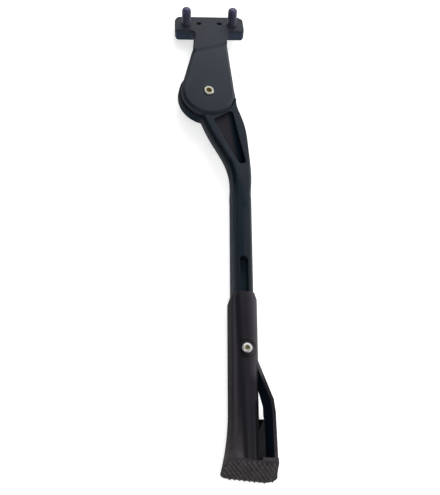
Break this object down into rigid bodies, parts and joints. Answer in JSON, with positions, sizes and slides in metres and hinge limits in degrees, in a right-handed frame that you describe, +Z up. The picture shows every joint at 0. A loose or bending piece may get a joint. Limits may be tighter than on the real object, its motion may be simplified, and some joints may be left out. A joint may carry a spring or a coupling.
{
  "type": "bicycle kickstand",
  "caption": "Bicycle kickstand: a bolted mounting head, a leg that swings on a pivot with a ball detent, and a moulded foot that slides along the leg to set its height.",
  "frame": {"origin": "centre of the bolt pattern on the mounting face that bears on the bicycle frame", "axes": "+X forwards along the mounting bar, +Y outwards away from the bicycle, +Z up; the leg is deployed"},
  "size_m": [0.0614, 0.1497, 0.3762],
  "materials": {
    "bracket_coat": "satin black powder coat",
    "leg_coat": "satin black powder coat",
    "foot_plastic": "matte moulded nylon",
    "bolt_black": "black oxide steel",
    "steel": "zinc plated",
    "bush_nylon": "natural nylon"
  },
  "bodies": {
    "bracket": {"head_bracket": "bracket_coat", "mount_bolts": "bolt_black", "pivot_screw": "steel", "retaining_washer": "steel", "lock_nut": "steel"},
    "leg": {"leg": "leg_coat", "front_bush": "bush_nylon", "rear_bush": "bush_nylon", "detent_spring": "steel"},
    "detent": {"detent_ball": "steel"},
    "foot": {"foot": "foot_plastic", "clamp_screw": "steel", "clamp_nut": "steel"}
  },
  "joints": [
    {"name": "leg_swing", "type": "hinge", "parent": "bracket", "child": "leg", "pos_m": [-0.00396, 0.01471, -0.08028], "axis": [-0.1281, 0.9397, 0.3171], "range_deg": [0, 85]},
    {"name": "foot_slide", "type": "slide", "parent": "leg", "child": "foot", "axis": [0.0452, -0.3139, 0.9484], "range_m": [-0.005, 0.05]},
    {"name": "detent_lift", "type": "slide", "parent": "leg", "child": "detent", "axis": [0.1281, -0.9397, -0.3171], "range_m": [0, 0.0004], "stiffness_N_per_m": 1500, "springref_m": 0.0006}
  ]
}
